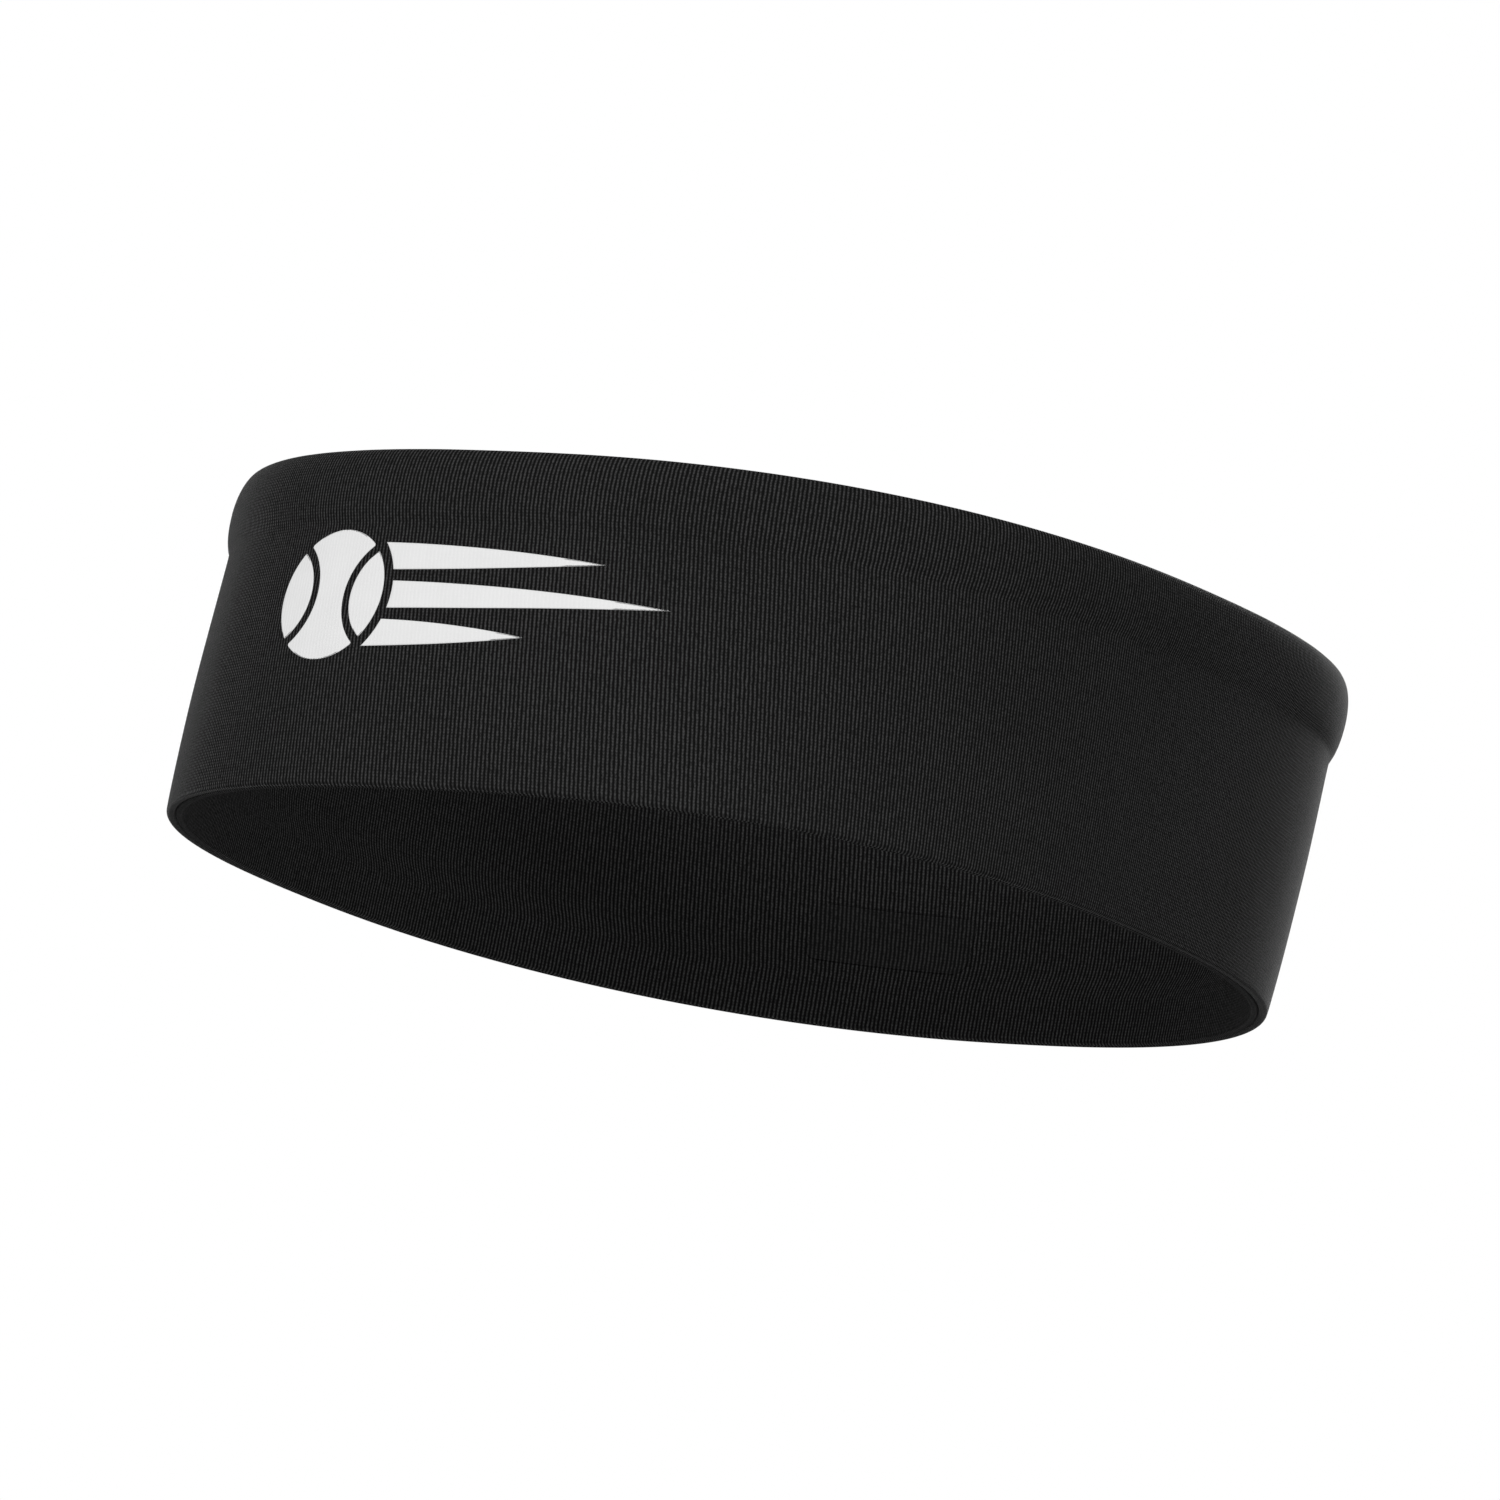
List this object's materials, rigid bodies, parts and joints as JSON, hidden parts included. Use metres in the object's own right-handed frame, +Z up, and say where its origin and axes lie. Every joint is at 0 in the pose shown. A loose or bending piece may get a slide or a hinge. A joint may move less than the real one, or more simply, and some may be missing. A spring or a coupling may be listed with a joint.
{
  "type": "sports headband",
  "caption": "Double-layer knitted headband shaped as worn, with a turned elastic hem along its top edge and a white ball-and-streak print at the front.",
  "frame": {"origin": "middle of the band's box on the plane that its bottom edge rests on", "axes": "+Z up towards the hem, -Y towards the forehead and its print, +Y towards the nape, +X towards the wearer's left"},
  "size_m": [0.1668, 0.197, 0.0571],
  "materials": {
    "knit_outer": "matt black weft-knitted jersey, fine vertical wales, grey sheen at grazing angles",
    "knit_lining": "matt black weft-knitted jersey, fine vertical wales",
    "elastic": "black woven elastic",
    "thread": "black polyester sewing thread",
    "white_transfer": "satin white heat-transfer film",
    "tonal_transfer": "satin black heat-transfer film"
  },
  "bodies": {
    "root": {"outer_tube": "knit_outer", "lining_tube": "knit_lining", "hem_elastic": "elastic", "elastic_join_tack": "thread", "hem_seam_stitching": "thread", "bottom_seam_binding": "thread", "print_ball_left": "white_transfer", "print_ball_middle": "white_transfer", "print_ball_right": "white_transfer", "print_streak_top": "white_transfer", "print_streak_middle": "white_transfer", "print_streak_bottom": "white_transfer", "care_label": "tonal_transfer"}
  },
  "joints": []
}
